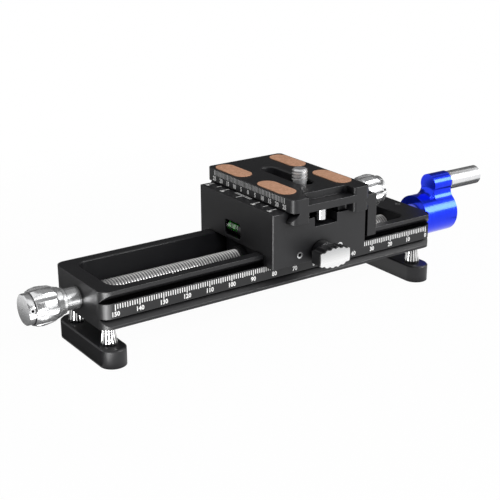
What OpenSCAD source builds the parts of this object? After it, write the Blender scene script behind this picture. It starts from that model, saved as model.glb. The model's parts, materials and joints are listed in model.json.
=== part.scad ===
// Macro focusing rail. A carriage slides on a dovetail rail, moved by a lead screw
// with a crank at one end and a fine knob at the other. On the carriage a screw clamp
// holds a plate with a camera screw. The rail stands on two bars with short posts.
// +X runs along the rail to the crank, +Y to the back, +Z up.

/* [Rail] */
// Length of the rail
rail_l = 159.2; // [150:0.1:220]
// Width of the rail
rail_w = 38.5; // [37.5:0.1:42]
// Height of the rail
rail_h = 14.7; // [14.2:0.1:16]
// Corner radius of the rail seen from above
rail_r = 4; // [1:0.1:5]
// Height of the flat land at the foot of the dovetail
land_h = 1.1; // [0.6:0.1:1.6]
// Height at which the scale band starts
band_z = 4.1; // [3.6:0.1:4.6]
// Height of the ledge on top of the scale band
ledge_z = 10; // [9.6:0.1:10.4]
// Depth of the side groove that the carriage hooks into
groove_d = 3.2; // [2.6:0.1:3.6]
// Width of the channel in the rail
channel_w = 29.7; // [28:0.1:30.5]
// Chamfer round the channel's top edge
channel_c = 0.4; // [0.2:0.1:0.8]
// Thickness of the floor under the channel
floor_t = 1.8; // [1:0.1:2.2]
// Corner radius of the channel
channel_r = 5; // [3.6:0.1:6]
// Thickness of the left end wall
left_wall = 6.5; // [6:0.1:9]
// Thickness of the right end wall
right_wall = 11.5; // [9:0.1:14]

/* [Lead screw] */
// Outer radius of the thread
screw_r = 4; // [3.5:0.1:4.3]
// Radius of the plain ends of the lead screw
journal_r = 3; // [2.6:0.1:3.2]
// Outer radius of the two bushes
bush_r = 4.1; // [4:0.1:5.4]
// Radius of the screw that locks the right bush
bush_screw_r = 1.2; // [1:0.1:1.6]
// Distance of that screw from the rail's right end
bush_screw_in = 2.7; // [2:0.1:6]
// Thickness of the washer between the rail and the focus knob
washer_t = 0.8; // [0.5:0.1:1.2]

/* [Hand knobs] */
// Greatest radius of a knob's barrel
knob_r = 7.3; // [6.8:0.1:8]
// Radius of the band at the knob's end
knob_end_r = 5.9; // [5.4:0.1:6.4]
// Length of the band at the knob's end
knob_end_l = 2.6; // [2.2:0.1:3.2]
// Length of the fluted barrel
barrel_l = 11.2; // [9:0.1:14]
// Radius of the ring behind the barrel
ring_r = 5; // [4.6:0.1:5.4]
// Length of the ring behind the barrel
ring_l = 1.4; // [1:0.1:2]
// Radius of the knob's neck
neck_r = 4.15; // [3.9:0.1:4.5]
// Length of the focus knob's neck
neck_l = 5.35; // [4.5:0.05:8]
// Length of the clamp knob's neck
clamp_neck_l = 6.5; // [5:0.1:9]
// Thickness of the end that closes a knob's bore
knob_cap_t = 0.5; // [0.4:0.1:1]
// How far round the focus knob its set screw sits, from the top to the front
grub_turn = 79; // [0:1:180]
// Number of flutes round a barrel
flutes = 8; // [6:1:10]
// Radius of the cutter that makes a flute
flute_r = 1.6; // [1.2:0.1:2]
// How deep a flute is cut into the barrel
flute_d = 1; // [0.6:0.1:1.2]
// Radius of the small set screws
grub_r = 1.1; // [0.8:0.1:1.3]

/* [Crank] */
// Radius of the crank's hub
hub_r = 9.3; // [8:0.1:11]
// Length of the crank's hub
hub_l = 18.6; // [16:0.1:22]
// Thickness of the crank's arm
arm_t = 10.1; // [8:0.1:12]
// Width of the crank's arm
arm_w = 8.6; // [8:0.1:10]
// Distance from the lead screw to the grip
throw = 13.25; // [12.5:0.1:20]
// Radius of the rounded end of the arm
lobe_r = 4.7; // [4.5:0.1:6]
// Radius of the hollow corners between arm and hub
blend_r = 4.5; // [1:0.1:4.9]
// Radius of the hollow corner at the arm's foot, over the hub
arm_foot_r = 3; // [1:0.1:4]
// Thickness of the end that closes the hub's bore
hub_cap_t = 2; // [1:0.1:3]
// Length of the spacer between rail and crank
spacer_l = 6.5; // [5:0.1:9]
// Radius of that spacer
spacer_r = 5.6; // [4.5:0.1:7]
// Radius of the turning grip
grip_r = 4.2; // [3.6:0.1:5]
// Length of the turning grip
grip_l = 19.6; // [14:0.1:30]
// Chamfer at the ends of the grip
grip_chamfer = 1; // [0.4:0.1:1.5]
// Radius of the pin in the grip
pin_r = 1.5; // [1.2:0.1:2]
// Length of that pin in the arm
pin_in = 8; // [6:0.1:8]
// Radius of the head of that pin
pin_head_r = 2.6; // [2.4:0.1:2.8]
// Height of the head of that pin
pin_head_h = 1.8; // [1.2:0.1:2.4]
// Depth of that head under the end of the grip
pin_sunk = 0.3; // [0.1:0.1:0.6]

/* [Carriage] */
// Distance of the carriage from the rail's left end, as it stands
carriage_at = 69.9; // [64:0.1:72]
// Width of the carriage across the rail
carriage_w = 51.3; // [50:0.1:56]
// Height of the carriage
carriage_h = 22.1; // [21.5:0.1:24]
// Chamfer along the carriage's outer edges
edge_c = 0.4; // [0.2:0.1:0.8]
// Thickness of the sliding strip at the front
gib_t = 2.1; // [1.6:0.1:2.6]
// Height of the set screws and the lock screw above the carriage's underside
gib_screw_z = 3.5; // [3.2:0.1:4]
// Radius of the two set screws
gib_screw_r = 1.4; // [1.1:0.1:1.6]
// Distance of the left set screw from the carriage's left face
gib_screw_x = 13; // [10:0.1:15]
// Spacing of the two set screws
gib_screw_gap = 20; // [18:0.1:22]
// Gap between the nut block and the channel's floor
block_gap = 0.4; // [0.2:0.1:0.6]
// Distance of the nut block's ends inside the carriage's ends
block_in = 3; // [0.2:0.1:4]
// Distance of the nut's left end inside the carriage's left face
nut_end_in = 0.3; // [0.2:0.1:2]
// Width of the nut block
block_w = 26.5; // [24:0.1:27]
// Corner radius of the nut block
block_r = 3.5; // [2:0.1:3.6]
// Outer radius of the nut
nut_r = 4.9; // [4.6:0.1:5]
// Length of the nut
nut_l = 20; // [14:0.1:30]
// Radius of the two screws that hold the nut block
nut_screw_r = 1.5; // [1.2:0.1:1.8]
// Distance of those screws from the middle
nut_screw_y = 10; // [9:0.1:11]
// How far those screws reach into the nut block
nut_screw_in = 5; // [3:0.1:6]

/* [Level] */
// Width of the level's window
level_w = 11; // [10:0.1:13]
// Height of the level's window
level_h = 6.4; // [6:0.1:7.4]
// Height of the level above the carriage's underside
level_z = 9.2; // [8.6:0.1:11]
// Distance of the level behind the middle
level_y = 1.75; // [-4:0.05:4]
// Corner radius of the level's window
level_r = 1.2; // [0.6:0.1:1.4]
// Gap between the glass tube and the ends of its window
level_gap = 0.3; // [0.2:0.05:0.5]
// Radius of the glass tube
vial_r = 2.6; // [2.2:0.1:2.9]
// Wall of the glass tube
vial_wall = 0.6; // [0.4:0.1:0.8]

/* [Lock knob] */
// Distance of the lock screw from the carriage's left face
lock_x = 22.7; // [21:0.1:25]
// Length of the lock knob's bar
lock_l = 14.3; // [12:0.1:18]
// Height of the bar in its middle
lock_h = 8; // [6.6:0.1:9]
// Height of the bar at its ends
lock_end_h = 5; // [3:0.1:5.4]
// Thickness of the lock knob's bar
lock_t = 6.2; // [5:0.1:8]
// Radius of the round hub behind the bar
lock_hub_r = 4.4; // [3.6:0.1:5]
// How far the lock knob reaches out of the carriage
lock_reach = 10.4; // [8:0.1:14]
// Gap between the lock knob and the carriage
lock_gap = 0.6; // [0.3:0.1:1.2]
// Thickness of the lock knob's front over its screw
lock_cap_t = 2; // [1:0.1:3]
// Radius of the lock screw
lock_screw_r = 2; // [1.6:0.1:2.2]
// Pitch of the notches along the bar
notch_pitch = 2.7; // [2.2:0.1:3.2]
// Radius of the notches
notch_r = 1.3; // [0.8:0.1:1.3]
// Depth of the notches
notch_d = 0.45; // [0.2:0.05:0.6]

/* [Clamp] */
// Depth of the clamp's bed under the carriage's top
bed_d = 4.5; // [4.4:0.1:4.8]
// Thickness of the fixed jaw at its foot
fixed_jaw_t = 6.15; // [5:0.05:7]
// Width of the groove across the middle of the bed
bed_groove_w = 11.2; // [10:0.1:14]
// Depth of that groove
bed_groove_d = 3.8; // [3:0.1:4.2]
// Distance of that groove from the carriage's left face
bed_groove_x = 20; // [18:0.1:22]
// Thickness of the moving jaw
jaw_t = 4.4; // [4:0.1:6]
// Height of the moving jaw
jaw_h = 17.5; // [16.5:0.1:18.5]
// Gap between the carriage and the moving jaw when clamped
jaw_gap = 1; // [0.5:0.1:1.2]
// How far the moving jaw's lip reaches in over that gap and the bed
jaw_lip = 2.55; // [2:0.05:3]
// Chamfer along the moving jaw's top edge
jaw_c = 0.7; // [0.3:0.1:1]
// How far the moving jaw can open
jaw_travel = 4; // [3:0.1:4]
// Radius of the clamp screw
clamp_r = 3; // [2.5:0.1:3.2]
// Distance of the clamp screw under the carriage's top
clamp_drop = 8.6; // [8.2:0.1:9.4]
// Length of the clamp screw's engagement in the carriage
clamp_in = 38; // [34:0.1:40]
// Length of the thread in the carriage that the clamp screw turns in
clamp_thread_l = 13; // [10:0.1:14]
// Gap round the clamp screw outside its thread
clamp_clear = 0.2; // [0.1:0.05:0.4]
// Radius of the guide pins of the moving jaw
guide_r = 2; // [1.6:0.1:2.4]
// Distance of the guide pins from the middle
guide_y = 17; // [16.5:0.1:19]
// Distance of the guide pins under the carriage's top
guide_drop = 12.3; // [11:0.1:13]
// Length of the guide pins in the carriage
guide_in = 20; // [14:0.1:22]
// Thickness of the washer under the clamp knob
clamp_washer_t = 1.6; // [1:0.1:2.5]
// Wall left over the guide pins in the moving jaw
guide_wall = 1; // [0.6:0.1:1.5]

/* [Camera plate] */
// Width of the plate
plate_w = 38; // [37.5:0.1:38.5]
// Length of the plate
plate_l = 60; // [58:0.1:90]
// Height of the plate
plate_h = 10; // [9:0.1:11]
// Height of the plate's foot under its grooves
plate_land = 1.15; // [0.8:0.05:1.3]
// Depth of the plate's side grooves
plate_groove = 3; // [2.6:0.1:3.1]
// Thickness of the slab over the side grooves
plate_slab = 5.35; // [4.5:0.05:5.4]
// Corner radius of the plate
plate_r = 2.5; // [1:0.1:4]
// Width of the recess under the plate
recess_w = 14.4; // [14.2:0.1:18]
// Depth of the recess under the plate
recess_d = 4.05; // [3.9:0.05:4.4]
// Width of the notches in the plate's front, over and under
notch_w = 21.8; // [19:0.1:24]
// Radius of those notches' corners, hollow inside and rounded at the mouth
mouth_r = 1.2; // [0.6:0.1:2]
// How far the notches reach in from the front
notch_in = 5.6; // [4:0.1:6]
// Depth of the upper notch under the plate's top
notch_down = 2.95; // [2:0.05:3.5]
// Width of the slot for the camera screw
slot_w = 6.8; // [6.7:0.1:8]
// Length of the slot for the camera screw
slot_l = 30.5; // [26:0.1:31]
// Chamfer round that slot's top edge
slot_c = 0.5; // [0.2:0.1:0.8]
// Width of a grip pad
pad_w = 8.1; // [6:0.1:9]
// Length of a grip pad
pad_l = 20.2; // [14:0.1:22]
// Distance of the pads from the plate's long sides
pad_in = 1.2; // [0.8:0.1:2]
// Distance of the front pads before the middle
pad_front = 11.95; // [11:0.05:12.5]
// Distance of the back pads behind the middle
pad_back = 17.9; // [14:0.1:18]
// Depth of the pockets for the pads
pad_d = 1; // [0.6:0.1:1.4]
// How far the pads stand proud
pad_proud = 0.25; // [0.1:0.05:0.6]
// Radius of the stop pins under the plate
stop_r = 1.95; // [1.6:0.05:2.4]
// Distance of the stop pins from the plate's ends
stop_end = 7.25; // [6:0.05:8.5]
// How far the stop pins reach down out of the plate
stop_down = 2.25; // [1.5:0.05:3]
// How far the stop pins are set into the plate
stop_in = 2.5; // [1.5:0.1:2.6]
// Radius of the camera screw, a quarter inch thread
stud_r = 3.175; // [3.175:0.001:3.2]
// Radius of the camera screw's waist
waist_r = 2.7; // [2.2:0.1:2.9]
// How far the camera screw stands over the plate
stud_up = 5; // [4:0.1:7]
// Chamfer at the camera screw's tip
stud_c = 0.5; // [0.3:0.1:0.8]
// Distance of the camera screw before the middle, as it stands
stud_y = 8.75; // [4:0.05:11]
// Radius of the camera screw's head
stud_head_r = 6.5; // [5.5:0.1:7]
// Height of the camera screw's head
stud_head_h = 2.4; // [1.8:0.1:2.6]
// Thickness of the washer on the camera screw
stud_washer_t = 0.7; // [0.5:0.1:0.8]

/* [Feet] */
// Width of a foot bar
bar_w = 10.4; // [9.5:0.1:11]
// Length of a foot bar
bar_l = 41.5; // [40:0.1:60]
// Height of a foot bar
bar_h = 7.2; // [6:0.1:10]
// Chamfer round a foot bar's top
bar_c = 0.5; // [0.3:0.1:1]
// Height of the posts
post_h = 7.8; // [5:0.1:20]
// Radius of a post at its foot
post_r = 3.3; // [3.2:0.05:4]
// Radius of a post at its top
post_top_r = 2.05; // [2:0.05:2.5]
// Distance of the posts from the middle
post_y = 13.1; // [13:0.1:14]
// Flutes round a post
post_flutes = 10; // [8:1:12]
// Radius of a post's flutes
post_flute_r = 0.4; // [0.3:0.05:0.5]
// Radius of the foot screws
foot_screw_r = 1.25; // [1:0.05:1.3]
// Radius of the heads of the cap screws
cap_head_r = 2.75; // [2.4:0.05:2.8]
// Height of the heads of the cap screws
cap_head_h = 3; // [2.4:0.1:3.2]
// How far the foot screws reach into the rail
foot_screw_in = 3.4; // [2.4:0.1:3.8]
// Depth of the screw heads under the surface
cap_sunk = 0.3; // [0.1:0.05:0.5]

/* [Clearances] */
// Gap round a turning or sliding shaft
run_gap = 0.05; // [0.03:0.01:0.08]
// Gap between pieces that are fastened together
seat_gap = 0.02; // [0.01:0.01:0.04]
// Gap between the carriage and the rail's slanted faces
slide_gap = 0.08; // [0.05:0.01:0.12]
// Gap between the carriage and the rail's upright and level faces
side_gap = 0.12; // [0.1:0.01:0.16]
// Gap over the rail's ledge
ledge_gap = 0.2; // [0.15:0.01:0.3]
// Gap between the plate and the clamp
plate_gap = 0.15; // [0.12:0.01:0.2]
// Gap where a turning end meets a fixed face
end_gap = 0.1; // [0.05:0.01:0.2]

/* [Hidden] */

$fn = 48;
// Overrun of every cut
cut = 1;
black = "#2b2c2e";
silver = "#c9cbce";
steel = "#9fa2a6";
bronze = "#a9864e";
blue = "#1838f5";
tan = "#c8997a";

// The knob's barrel: places along it, and how far each lies between ring and greatest radius
barrel_shares = [[0, 0.63], [0.12, 0.87], [0.29, 1], [0.44, 0.96], [0.7, 0.78], [0.8, 0.52], [1, 0.22]];
// Radius of a hexagon socket, as a share of its screw's radius
socket_share = 0.55;
// Least thickness of a jaw's tip, as a share of the bed's depth
tip_share = 0.02;

knob_l = knob_end_l + barrel_l + ring_l;
focus_l = knob_l + neck_l + end_gap + washer_t + end_gap;
crank_l = spacer_l + hub_l + end_gap + grip_l;
total_l = focus_l + rail_l + crank_l;
// Place of the rail's left end, so that the whole object is centred
rail_x = focus_l - total_l / 2;
// How far the object reaches before and behind the rail's middle line
reach_front = carriage_w / 2 + lock_reach;
reach_back = max(plate_l, carriage_w) / 2;
// Place of the rail's middle line and of its underside
mid_y = (reach_front - reach_back) / 2;
rail_z = bar_h + post_h;

// From here on places are measured from the rail's left end, middle line and underside
screw_z = rail_h / 2;
channel_l = rail_l - left_wall - right_wall;
hub_x = rail_l + spacer_l;
arm_x = hub_x + hub_l - arm_t;
grip_x = hub_x + hub_l + end_gap;
carriage_l = fixed_jaw_t + plate_w + 2 * plate_gap + jaw_lip - jaw_gap;
carriage_z = ledge_z + ledge_gap;
carriage_top = carriage_z + carriage_h;
roof_z = rail_h + side_gap;
// The slanted gap in the rail's groove, measured straight up
slide_up = slide_gap * sqrt(2);
hook_d = groove_d - ledge_gap - slide_up;
hook_top = ledge_z + groove_d + side_gap - slide_up;
gib_out = rail_w / 2 + side_gap + gib_t;
bed_z = carriage_top - bed_d;
groove_z = bed_z - bed_groove_d;
groove_mid = carriage_at + bed_groove_x + bed_groove_w / 2;
plate_x = carriage_at + fixed_jaw_t + plate_gap;
plate_mid = plate_x + plate_w / 2;
plate_z = bed_z + plate_gap;
plate_top = plate_z + plate_h;
ceiling_z = plate_z + recess_d;
// The slanted gap between plate and jaws, measured straight up
plate_up = plate_gap * sqrt(2);
nose_d = min(plate_groove - plate_gap,
    bed_d * (1 - tip_share) - plate_gap - plate_land - plate_up);
jaw_x = carriage_at + carriage_l + jaw_gap;
clamp_z = carriage_top - clamp_drop;
clamp_l = knob_l + clamp_neck_l;
clamp_neck_x = jaw_x + jaw_t + end_gap + clamp_washer_t + end_gap;
guide_z = carriage_top - guide_drop;
head_top = ceiling_z - 2 * end_gap - stud_washer_t;
block_l = carriage_l - 2 * block_in;
stop_y = plate_l / 2 - stop_end;
vial_l = level_w - 2 * level_gap;
vial_in = vial_r - vial_wall;

// Half of the rail's cross-section: depth from its side, and height
rail_side = [[0, 0], [0, land_h], [band_z - land_h, band_z], [0, band_z], [0, ledge_z],
    [groove_d, ledge_z], [0, ledge_z + groove_d], [0, rail_h]];
// Half of the plate's cross-section
plate_side = [[0, 0], [0, plate_land], [plate_groove, plate_land + plate_groove],
    [plate_groove, plate_h - plate_slab], [0, plate_h - plate_slab], [0, plate_h - edge_c],
    [edge_c, plate_h]];
// A jaw's nose: how far it reaches into the plate's side, and height
nose = [[nose_d, carriage_top], [nose_d, plate_z + plate_land + plate_up + nose_d],
    [-plate_gap, plate_z + plate_land + plate_up - plate_gap]];

// The whole outline of a shape that is alike on both sides
function both_sides(side, w) = concat(
    [for (p = side) [p[0] - w / 2, p[1]]],
    [for (i = [len(side) - 1:-1:0]) [w / 2 - side[i][0], side[i][1]]]);

module on_rail() {
    translate([rail_x, mid_y, rail_z]) children();
}

module along_x(l) {
    rotate([90, 0, 90]) linear_extrude(l) children();
}

module along_y(l) {
    translate([0, l / 2, 0]) rotate([90, 0, 0]) linear_extrude(l) children();
}

module rod_x(r, l) {
    rotate([0, 90, 0]) cylinder(r = r, h = l);
}

module rod_y(r, l) {
    rotate([-90, 0, 0]) cylinder(r = r, h = l);
}

// A turned piece along X, from a list of radius and place
module turned_x(points) {
    rotate([0, 90, 0]) rotate_extrude() polygon(points);
}

// A rounded rectangle, centred
module rounded(l, w, r) {
    square([l - 2 * r, w], center = true);
    square([l, w - 2 * r], center = true);
    for (x = [-1, 1], y = [-1, 1]) {
        translate([x * (l / 2 - r), y * (w / 2 - r)]) circle(r);
    }
}

// A slot with round ends along Y, centred
module stadium(w, l) {
    square([w, l - w], center = true);
    for (y = [-1, 1]) {
        translate([0, y * (l - w) / 2]) circle(w / 2);
    }
}

// A slot with round ends along Y that widens upwards over its height h
module flared_stadium(w, l, h) {
    straight = l - w;
    along_y(straight) polygon([[-w / 2, 0], [w / 2, 0], [w / 2 + h, h], [-w / 2 - h, h]]);
    both_y(straight / 2) cylinder(r1 = w / 2, r2 = w / 2 + h, h = h);
}

// A rounded rectangle, centred, that widens upwards over its height h
module flared(l, w, r, h) {
    for (turn = [[0, l, w], [90, w, l]]) {
        side = turn[2] / 2;
        rotate(turn[0]) translate([r - turn[1] / 2, 0, 0]) along_x(turn[1] - 2 * r)
            polygon([[-side, 0], [side, 0], [side + h, h], [-side - h, h]]);
    }
    for (x = [-1, 1], y = [-1, 1]) {
        translate([x * (l / 2 - r), y * (w / 2 - r), 0]) cylinder(r1 = r, r2 = r + h, h = h);
    }
}

// Two copies, before and behind the middle line
module both_y(y) {
    for (side = [-1, 1]) {
        translate([0, side * y, 0]) children();
    }
}

module at_left_bar() {
    translate([bar_w / 2, 0, -rail_z]) children();
}

module at_right_bar() {
    translate([rail_l - bar_w / 2, 0, -rail_z]) children();
}

module at_posts() {
    at_left_bar() both_y(post_y) children();
    at_right_bar() both_y(post_y) children();
}

// A hexagon socket, cut down from z = 0
module socket(r) {
    translate([0, 0, -r]) cylinder(r = r * socket_share, h = r + cut, $fn = 6);
}

// A grub screw from z = 0 up, with its socket on top
module grub(r, l) {
    difference() {
        cylinder(r = r, h = l);
        translate([0, 0, l]) socket(r);
    }
}

// A cap screw: its shaft runs down from z = 0 and its head stands on z = 0
module cap_screw(r, l) {
    difference() {
        union() {
            cylinder(r = cap_head_r, h = cap_head_h);
            translate([0, 0, -l]) cylinder(r = r, h = l);
        }
        translate([0, 0, cap_head_h]) socket(cap_head_r);
    }
}

module rail_body() {
    color(black) on_rail() difference() {
        intersection() {
            along_x(rail_l) polygon(both_sides(rail_side, rail_w));
            translate([rail_l / 2, 0, -cut])
                linear_extrude(rail_h + 2 * cut) rounded(rail_l, rail_w, rail_r);
        }
        translate([left_wall + channel_l / 2, 0, floor_t])
            linear_extrude(rail_h) rounded(channel_l, channel_w, channel_r);
        translate([left_wall + channel_l / 2, 0, rail_h - channel_c])
            flared(channel_l, channel_w, channel_r, channel_c + cut);
        translate([-cut, 0, screw_z]) rod_x(bush_r + seat_gap, rail_l + 2 * cut);
        translate([rail_l - bush_screw_in, 0, screw_z])
            cylinder(r = bush_screw_r + seat_gap, h = rail_h);
        at_posts() translate([0, 0, rail_z - cut])
            cylinder(r = foot_screw_r + seat_gap, h = foot_screw_in + end_gap + cut);
    }
}

module bush(l) {
    translate([0, 0, screw_z]) difference() {
        rod_x(bush_r, l);
        translate([-cut, 0, 0]) rod_x(journal_r + run_gap, l + 2 * cut);
    }
}

module bush_left() {
    color(bronze) on_rail() bush(left_wall);
}

module bush_right() {
    color(bronze) on_rail() translate([rail_l - right_wall, 0, 0]) bush(right_wall);
}

module bush_screw() {
    color(silver) on_rail() translate([rail_l - bush_screw_in, 0, screw_z + bush_r])
        grub(bush_screw_r, screw_z - bush_r - end_gap);
}

module lead_screw() {
    left = knob_cap_t - focus_l;
    right = hub_x + hub_l - hub_cap_t;
    thread_left = left_wall + end_gap;
    thread_right = rail_l - right_wall - end_gap;
    color(silver) on_rail() translate([0, 0, screw_z]) turned_x([
        [0, left], [journal_r, left], [journal_r, thread_left], [screw_r, thread_left],
        [screw_r, thread_right], [journal_r, thread_right], [journal_r, right], [0, right]]);
}

module thrust_washer() {
    color(silver) on_rail() translate([-end_gap - washer_t, 0, screw_z]) difference() {
        rod_x(neck_r, washer_t);
        translate([-cut, 0, 0]) rod_x(journal_r + seat_gap, washer_t + 2 * cut);
    }
}

// A fluted knob: its end face at x = 0, its neck towards +X
module hand_knob(neck, shaft_r) {
    difference() {
        turned_x(concat(
            [[0, 0], [knob_end_r - edge_c, 0], [knob_end_r, edge_c], [knob_end_r, knob_end_l]],
            [for (s = barrel_shares)
                [ring_r + (knob_r - ring_r) * s[1], knob_end_l + barrel_l * s[0]]],
            [[ring_r, knob_l - ring_l], [ring_r, knob_l], [neck_r, knob_l],
                [neck_r, knob_l + neck], [0, knob_l + neck]]));
        for (i = [0:flutes - 1]) {
            rotate([i * 360 / flutes, 0, 0]) translate([0, 0, knob_r + flute_r - flute_d])
                rod_x(flute_r, knob_l);
        }
        translate([knob_cap_t, 0, 0]) rod_x(shaft_r + seat_gap, knob_l + neck);
        knob_grub_place(shaft_r) cylinder(r = grub_r + seat_gap, h = knob_end_r);
    }
}

module knob_grub_place(shaft_r) {
    translate([knob_end_l / 2, 0, 0]) rotate([grub_turn, 0, 0]) translate([0, 0, shaft_r])
        children();
}

module knob_grub(shaft_r) {
    knob_grub_place(shaft_r) grub(grub_r, knob_end_r - shaft_r - end_gap);
}

module focus_knob() {
    color(silver) on_rail() translate([-focus_l, 0, screw_z]) hand_knob(neck_l, journal_r);
}

module focus_grub() {
    color(steel) on_rail() translate([-focus_l, 0, screw_z]) knob_grub(journal_r);
}

// One hollow corner between the hub and the side of the arm
module blend() {
    x = arm_w / 2 + blend_r;
    z = sqrt(pow(hub_r + blend_r, 2) - pow(x, 2));
    k = hub_r / (hub_r + blend_r);
    difference() {
        polygon([[0, 0], [x * k, z * k], [x, z], [0, z]]);
        translate([x, z]) circle(blend_r);
    }
}

module arm_outline() {
    translate([-arm_w / 2, 0]) square([arm_w, throw]);
    translate([0, throw]) circle(lobe_r);
    blend();
    mirror([1, 0]) blend();
}

// The hollow corner between the hub's top and the arm's left face
module arm_foot() {
    over = arm_foot_r / 4;
    intersection() {
        turned_x(concat([[0, -over], [hub_r - over, -over]],
            [for (a = [15:15:75]) [hub_r + arm_foot_r * (1 - cos(a)), arm_foot_r * sin(a)]],
            [[hub_r + arm_foot_r, arm_foot_r], [hub_r + arm_foot_r, arm_foot_r + over],
                [0, arm_foot_r + over]]));
        translate([-over, -arm_w / 2, 0]) cube([arm_foot_r + 2 * over, arm_w, throw]);
    }
}

module crank_arm() {
    color(blue) on_rail() translate([0, 0, screw_z]) difference() {
        union() {
            translate([hub_x, 0, 0]) rod_x(hub_r, hub_l);
            translate([arm_x, 0, 0]) along_x(arm_t) arm_outline();
            translate([arm_x - arm_foot_r, 0, 0]) arm_foot();
        }
        translate([hub_x - cut, 0, 0]) rod_x(journal_r + seat_gap, hub_l - hub_cap_t + cut);
        translate([hub_x + hub_l - pin_in, 0, throw]) rod_x(pin_r + seat_gap, pin_in + cut);
        crank_grub_place() cylinder(r = grub_r + seat_gap, h = hub_r);
    }
}

module crank_grub_place() {
    translate([hub_x + (hub_l - arm_t) / 2, 0, 0]) rotate([180, 0, 0])
        translate([0, 0, journal_r]) children();
}

module crank_grub() {
    color(steel) on_rail() translate([0, 0, screw_z]) crank_grub_place()
        grub(grub_r, hub_r - journal_r - end_gap);
}

module crank_spacer() {
    color(silver) on_rail() translate([rail_l + end_gap, 0, screw_z]) difference() {
        rod_x(spacer_r, spacer_l - end_gap);
        translate([-cut, 0, 0]) rod_x(journal_r + seat_gap, spacer_l + 2 * cut);
    }
}

module crank_pin() {
    head = grip_x + grip_l - pin_sunk;
    color(steel) on_rail() translate([0, 0, screw_z + throw]) difference() {
        turned_x([[0, hub_x + hub_l - pin_in], [pin_r, hub_x + hub_l - pin_in],
            [pin_r, head - pin_head_h], [pin_head_r, head - pin_head_h], [pin_head_r, head],
            [0, head]]);
        translate([head, 0, 0]) rotate([0, 90, 0]) socket(pin_head_h);
    }
}

module crank_grip() {
    seat = grip_l - pin_sunk - pin_head_h - end_gap;
    color(silver) on_rail() translate([grip_x, 0, screw_z + throw]) difference() {
        turned_x([[0, 0], [grip_r - grip_chamfer, 0], [grip_r, grip_chamfer],
            [grip_r, grip_l - grip_chamfer], [grip_r - grip_chamfer, grip_l], [0, grip_l]]);
        translate([-cut, 0, 0]) rod_x(pin_r + run_gap, grip_l);
        translate([seat, 0, 0]) rod_x(pin_head_r + run_gap, grip_l);
    }
}

// The carriage's cross-section, open below round the rail
module carriage_outline() {
    w = carriage_w / 2;
    rail = rail_w / 2;
    polygon([[-w, carriage_z], [-w, carriage_top - edge_c], [edge_c - w, carriage_top],
        [w - edge_c, carriage_top], [w, carriage_top - edge_c], [w, carriage_z],
        [rail - hook_d, carriage_z], [rail + side_gap, hook_top], [rail + side_gap, roof_z],
        [-gib_out - seat_gap, roof_z], [-gib_out - seat_gap, carriage_z]]);
}

// The carriage seen from above, with its corners broken
module carriage_plan() {
    x = carriage_l / 2;
    y = carriage_w / 2;
    polygon([for (p = [[-1, -1], [1, -1], [1, 1], [-1, 1]]) each
        p[0] * p[1] > 0
            ? [[p[0] * x, p[1] * (y - edge_c)], [p[0] * (x - edge_c), p[1] * y]]
            : [[p[0] * (x - edge_c), p[1] * y], [p[0] * x, p[1] * (y - edge_c)]]]);
}

module carriage_body() {
    side = plate_x - carriage_at;
    right = carriage_l + cut;
    color(black) on_rail() translate([carriage_at, 0, 0]) difference() {
        intersection() {
            along_x(carriage_l) carriage_outline();
            translate([carriage_l / 2, 0, 0]) linear_extrude(carriage_top + cut) carriage_plan();
        }
        // The clamp's bed with the fixed jaw
        along_y(carriage_w + 2 * cut) polygon(concat([[side + nose_d, carriage_top + cut]],
            [for (p = nose) [side + p[0], p[1]]],
            [[fixed_jaw_t, bed_z], [right, bed_z], [right, carriage_top + cut]]));
        translate([bed_groove_x, -carriage_w / 2 - cut, groove_z])
            cube([bed_groove_w, carriage_w + 2 * cut, carriage_h]);
        // Thread and bore of the clamp screw
        translate([carriage_l - clamp_in - end_gap, 0, clamp_z])
            rod_x(clamp_r + run_gap, clamp_in + 2 * cut);
        translate([carriage_l - clamp_in + clamp_thread_l, 0, clamp_z])
            rod_x(clamp_r + clamp_clear, clamp_in + cut);
        // Bores of the guide pins
        both_y(guide_y) translate([carriage_l - guide_in - end_gap, 0, guide_z])
            rod_x(guide_r + run_gap, guide_in + 2 * cut);
        // Seats of the nut block's screws
        both_y(nut_screw_y) translate([bed_groove_x + bed_groove_w / 2, 0, 0]) {
            translate([0, 0, roof_z - cut])
                cylinder(r = nut_screw_r + seat_gap, h = carriage_h);
            translate([0, 0, groove_z - cap_sunk - cap_head_h])
                cylinder(r = cap_head_r + side_gap, h = carriage_h);
        }
        // Holes of the set screws and the lock screw
        for (x = [0, gib_screw_gap]) {
            translate([gib_screw_x + x, -carriage_w / 2 - cut, carriage_z + gib_screw_z])
                rod_y(gib_screw_r + seat_gap, carriage_w / 2 - gib_out + cut + seat_gap);
        }
        translate([lock_x, -carriage_w / 2 - cut, carriage_z + gib_screw_z])
            rod_y(lock_screw_r + run_gap, carriage_w / 2 - gib_out + cut + seat_gap);
        // Window of the level
        translate([-cut, level_y, carriage_z + level_z])
            along_x(2 * (vial_r + seat_gap) + level_gap + cut) rounded(level_w, level_h, level_r);
    }
}

module nut_block() {
    z = floor_t + block_gap;
    color(black) on_rail() difference() {
        translate([carriage_at + carriage_l / 2, 0, z])
            linear_extrude(roof_z - z) rounded(block_l, block_w, block_r);
        translate([carriage_at, 0, screw_z]) {
            rod_x(screw_r + 2 * clamp_clear, carriage_l);
            rod_x(nut_r + seat_gap, nut_end_in + nut_l);
        }
        both_y(nut_screw_y) translate([groove_mid, 0, roof_z - nut_screw_in - end_gap])
            cylinder(r = nut_screw_r + seat_gap, h = rail_h);
    }
}

module lead_nut() {
    color(black) on_rail() translate([carriage_at + nut_end_in, 0, screw_z])
        difference() {
            rod_x(nut_r, nut_l);
            translate([-cut, 0, 0]) rod_x(screw_r + run_gap, nut_l + 2 * cut);
        }
}

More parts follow.
